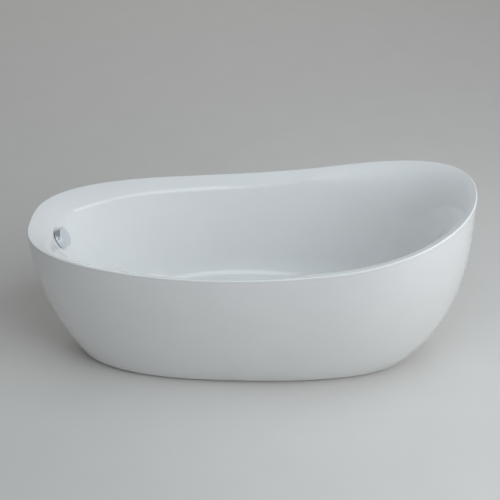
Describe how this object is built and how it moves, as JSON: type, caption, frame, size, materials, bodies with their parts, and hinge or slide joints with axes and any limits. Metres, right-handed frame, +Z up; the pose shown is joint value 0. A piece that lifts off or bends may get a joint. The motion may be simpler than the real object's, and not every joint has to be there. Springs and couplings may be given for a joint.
{
  "type": "freestanding bathtub",
  "caption": "White acrylic freestanding slipper bathtub with one raised end, turn-knob overflow, cable-operated pop-up waste, hidden steel cradle and levelling feet.",
  "frame": {"origin": "floor level under the centre of the bath's outer box", "axes": "+X along the bath towards the raised backrest end, +Z up, -Y towards the side seen in the picture"},
  "size_m": [1.7, 0.8, 0.757],
  "materials": {
    "basin_acrylic": "polished white sanitary acrylic",
    "skirt_acrylic": "polished white sanitary acrylic",
    "chrome": "bright chrome plate",
    "steel": "zinc-plated steel",
    "cradle_paint": "dark powder coat",
    "board": "raw chipboard",
    "rubber": "black rubber",
    "black_plastic": "moulded black plastic",
    "grey_plastic": "moulded light grey plastic",
    "brass": "turned brass"
  },
  "bodies": {
    "bath": {"basin": "basin_acrylic", "control_cable": "black_plastic", "crossbar_foot_end": "cradle_paint", "crossbar_head_end": "cradle_paint", "crossbar_middle": "cradle_paint", "drain_body": "black_plastic", "drain_flange": "chrome", "drain_gasket_lower": "rubber", "drain_gasket_upper": "rubber", "drain_tailpiece": "grey_plastic", "floor_board": "board", "foot_locknut_1": "steel", "foot_locknut_2": "steel", "foot_locknut_3": "steel", "foot_locknut_4": "steel", "foot_locknut_5": "steel", "frame_rail_front": "cradle_paint", "frame_rail_rear": "cradle_paint", "hose_clamp_lower": "steel", "hose_clamp_upper": "steel", "overflow_body": "black_plastic", "overflow_faceplate": "chrome", "overflow_gasket_inner": "rubber", "overflow_gasket_outer": "rubber", "overflow_hose": "grey_plastic", "overflow_screw_front": "steel", "overflow_screw_rear": "steel", "skirt": "skirt_acrylic", "skirt_bracket_foot_end_front": "steel", "skirt_bracket_foot_end_rear": "steel", "skirt_bracket_head_end_front": "steel", "skirt_bracket_head_end_rear": "steel", "skirt_bracket_middle_front": "steel", "skirt_bracket_middle_rear": "steel", "trap_bowl": "black_plastic", "trap_nut": "grey_plastic"},
    "knob": {"overflow_knob": "chrome", "knob_grub_screw": "steel", "knob_spindle": "brass", "cable_spool": "black_plastic"},
    "lever": {"lift_lever": "grey_plastic", "lever_shaft": "brass", "cable_pulley": "steel"},
    "stopper_plug": {"stopper": "chrome", "stopper_seal": "rubber", "stopper_stem": "brass", "stopper_locknut": "brass"},
    "foot_1": {"foot_pad_1": "rubber", "foot_stud_1": "steel"},
    "foot_2": {"foot_pad_2": "rubber", "foot_stud_2": "steel"},
    "foot_3": {"foot_pad_3": "rubber", "foot_stud_3": "steel"},
    "foot_4": {"foot_pad_4": "rubber", "foot_stud_4": "steel"},
    "foot_5": {"foot_pad_5": "rubber", "foot_stud_5": "steel"}
  },
  "joints": [
    {"name": "knob_turn", "type": "hinge", "parent": "bath", "child": "knob", "pos_m": [-0.74454, 0, 0.482], "axis": [0.8901, 0, 0.4557], "range_deg": [0, 90]},
    {"name": "lever_swing", "type": "hinge", "parent": "bath", "child": "lever", "pos_m": [-0.41, 0, 0.088], "axis": [0, 1, 0], "range_deg": [0, 30]},
    {"name": "stopper_lift", "type": "slide", "parent": "bath", "child": "stopper_plug", "axis": [0, 0, 1], "range_m": [0, 0.01]},
    {"name": "foot_1_adjust", "type": "slide", "parent": "bath", "child": "foot_1", "axis": [0, 0, -1], "range_m": [0, 0.02]},
    {"name": "foot_2_adjust", "type": "slide", "parent": "bath", "child": "foot_2", "axis": [0, 0, -1], "range_m": [0, 0.02]},
    {"name": "foot_3_adjust", "type": "slide", "parent": "bath", "child": "foot_3", "axis": [0, 0, -1], "range_m": [0, 0.02]},
    {"name": "foot_4_adjust", "type": "slide", "parent": "bath", "child": "foot_4", "axis": [0, 0, -1], "range_m": [0, 0.02]},
    {"name": "foot_5_adjust", "type": "slide", "parent": "bath", "child": "foot_5", "axis": [0, 0, -1], "range_m": [0, 0.02]}
  ],
  "couplings": [
    {"joint": "lever_swing", "follows": "knob_turn", "ratio": 0.33333},
    {"joint": "stopper_lift", "follows": "knob_turn", "m_per_rad": 0.006366}
  ]
}
